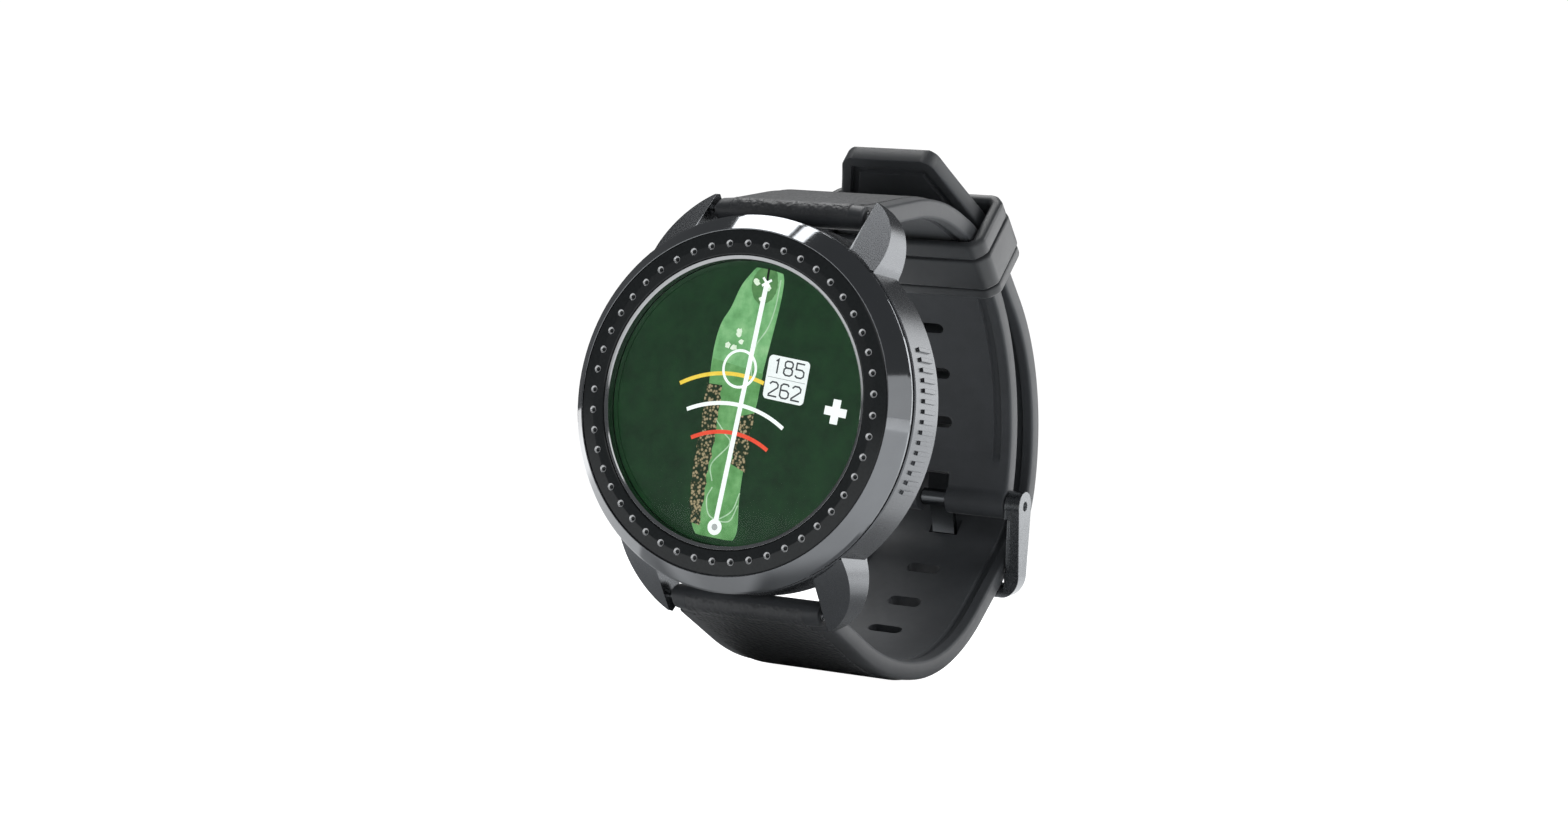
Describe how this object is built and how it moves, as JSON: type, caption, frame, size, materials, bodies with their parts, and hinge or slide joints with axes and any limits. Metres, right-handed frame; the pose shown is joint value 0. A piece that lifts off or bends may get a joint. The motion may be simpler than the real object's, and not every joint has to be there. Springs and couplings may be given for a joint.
{
  "type": "golf gps watch",
  "caption": "Round sports watch with a course map display, drilled rubber straps fastened by a pin buckle and a strap keeper.",
  "frame": {"origin": "on the dial's axis, at the centre of the wrist space inside the fastened strap, 36 mm behind the dial insert", "axes": "+X towards 3 o'clock, along the axis of the wrist; +Z towards 12 o'clock; -Y out of the dial"},
  "size_m": [0.0462, 0.0675, 0.0674],
  "materials": {
    "gunmetal": "satin gunmetal coating",
    "bezel_black": "gloss black",
    "polished_steel": "polished",
    "lens_glass": "clear polished",
    "black_rubber": "matt",
    "display": "lit display",
    "flex_copper": "satin",
    "inner_plastic": "matt",
    "antenna_brass": "plain",
    "board_green": "solder mask",
    "can_steel": "plain",
    "cell_foil": "foil",
    "foam_pad": "foam",
    "case_metal": "satin gunmetal coating",
    "back_metal": "satin",
    "contact_gold": "polished",
    "bar_steel": "polished",
    "strap_rubber": "matt, fine grain",
    "keeper_rubber": "matt",
    "buckle_steel": "satin gunmetal coating",
    "tang_steel": "satin"
  },
  "bodies": {
    "case": {"bezel_ring": "gunmetal", "bezel_insert": "bezel_black", "lens_ring": "polished_steel", "lens_glass": "lens_glass", "lens_gasket": "black_rubber", "display_panel": "display", "display_flex": "flex_copper", "bezel_seal": "black_rubber", "mid_frame": "inner_plastic", "gps_antenna": "antenna_brass", "main_board": "board_green", "shield_can": "can_steel", "board_screws": "can_steel", "battery": "cell_foil", "battery_pad": "foam_pad", "button_switch": "inner_plastic", "case_body": "case_metal", "button_seal": "black_rubber", "case_back_seal": "black_rubber", "case_back": "back_metal", "case_back_screws": "can_steel", "contact_carrier": "inner_plastic", "charge_contacts": "contact_gold", "spring_bar_top": "bar_steel", "spring_bar_bottom": "bar_steel", "strap_short": "strap_rubber", "strap_long": "strap_rubber", "buckle_pin": "bar_steel"},
    "button": {"power_button": "gunmetal", "button_clip": "can_steel"},
    "keeper": {"strap_keeper": "keeper_rubber"},
    "buckle": {"buckle_frame": "buckle_steel"},
    "tang": {"buckle_tang": "tang_steel"},
    "tip_top_left": {"bar_tip_top_left": "bar_steel"},
    "tip_top_right": {"bar_tip_top_right": "bar_steel"},
    "tip_bottom_left": {"bar_tip_bottom_left": "bar_steel"},
    "tip_bottom_right": {"bar_tip_bottom_right": "bar_steel"}
  },
  "joints": [
    {"name": "power_press", "type": "slide", "parent": "case", "child": "button", "axis": [1, 0, 0], "range_m": [0, 0.0005], "stiffness_N_per_m": 1200, "springref_m": -0.0012},
    {"name": "keeper_slide", "type": "slide", "parent": "case", "child": "keeper", "axis": [0, 0.7782, -0.628], "range_m": [0, 0.004]},
    {"name": "buckle_swing", "type": "hinge", "parent": "case", "child": "buckle", "pos_m": [0, 0.02309, -0.0079], "axis": [1, 0, 0], "range_deg": [0, 3]},
    {"name": "tang_swing", "type": "hinge", "parent": "buckle", "child": "tang", "pos_m": [0, 0.02309, -0.0079], "axis": [1, 0, 0], "range_deg": [0, 3]},
    {"name": "tip_top_left_press", "type": "slide", "parent": "case", "child": "tip_top_left", "axis": [1, 0, 0], "range_m": [0, 0.001], "stiffness_N_per_m": 900, "springref_m": -0.001},
    {"name": "tip_top_right_press", "type": "slide", "parent": "case", "child": "tip_top_right", "axis": [-1, 0, 0], "range_m": [0, 0.001], "stiffness_N_per_m": 900, "springref_m": -0.001},
    {"name": "tip_bottom_left_press", "type": "slide", "parent": "case", "child": "tip_bottom_left", "axis": [1, 0, 0], "range_m": [0, 0.001], "stiffness_N_per_m": 900, "springref_m": -0.001},
    {"name": "tip_bottom_right_press", "type": "slide", "parent": "case", "child": "tip_bottom_right", "axis": [-1, 0, 0], "range_m": [0, 0.001], "stiffness_N_per_m": 900, "springref_m": -0.001}
  ]
}
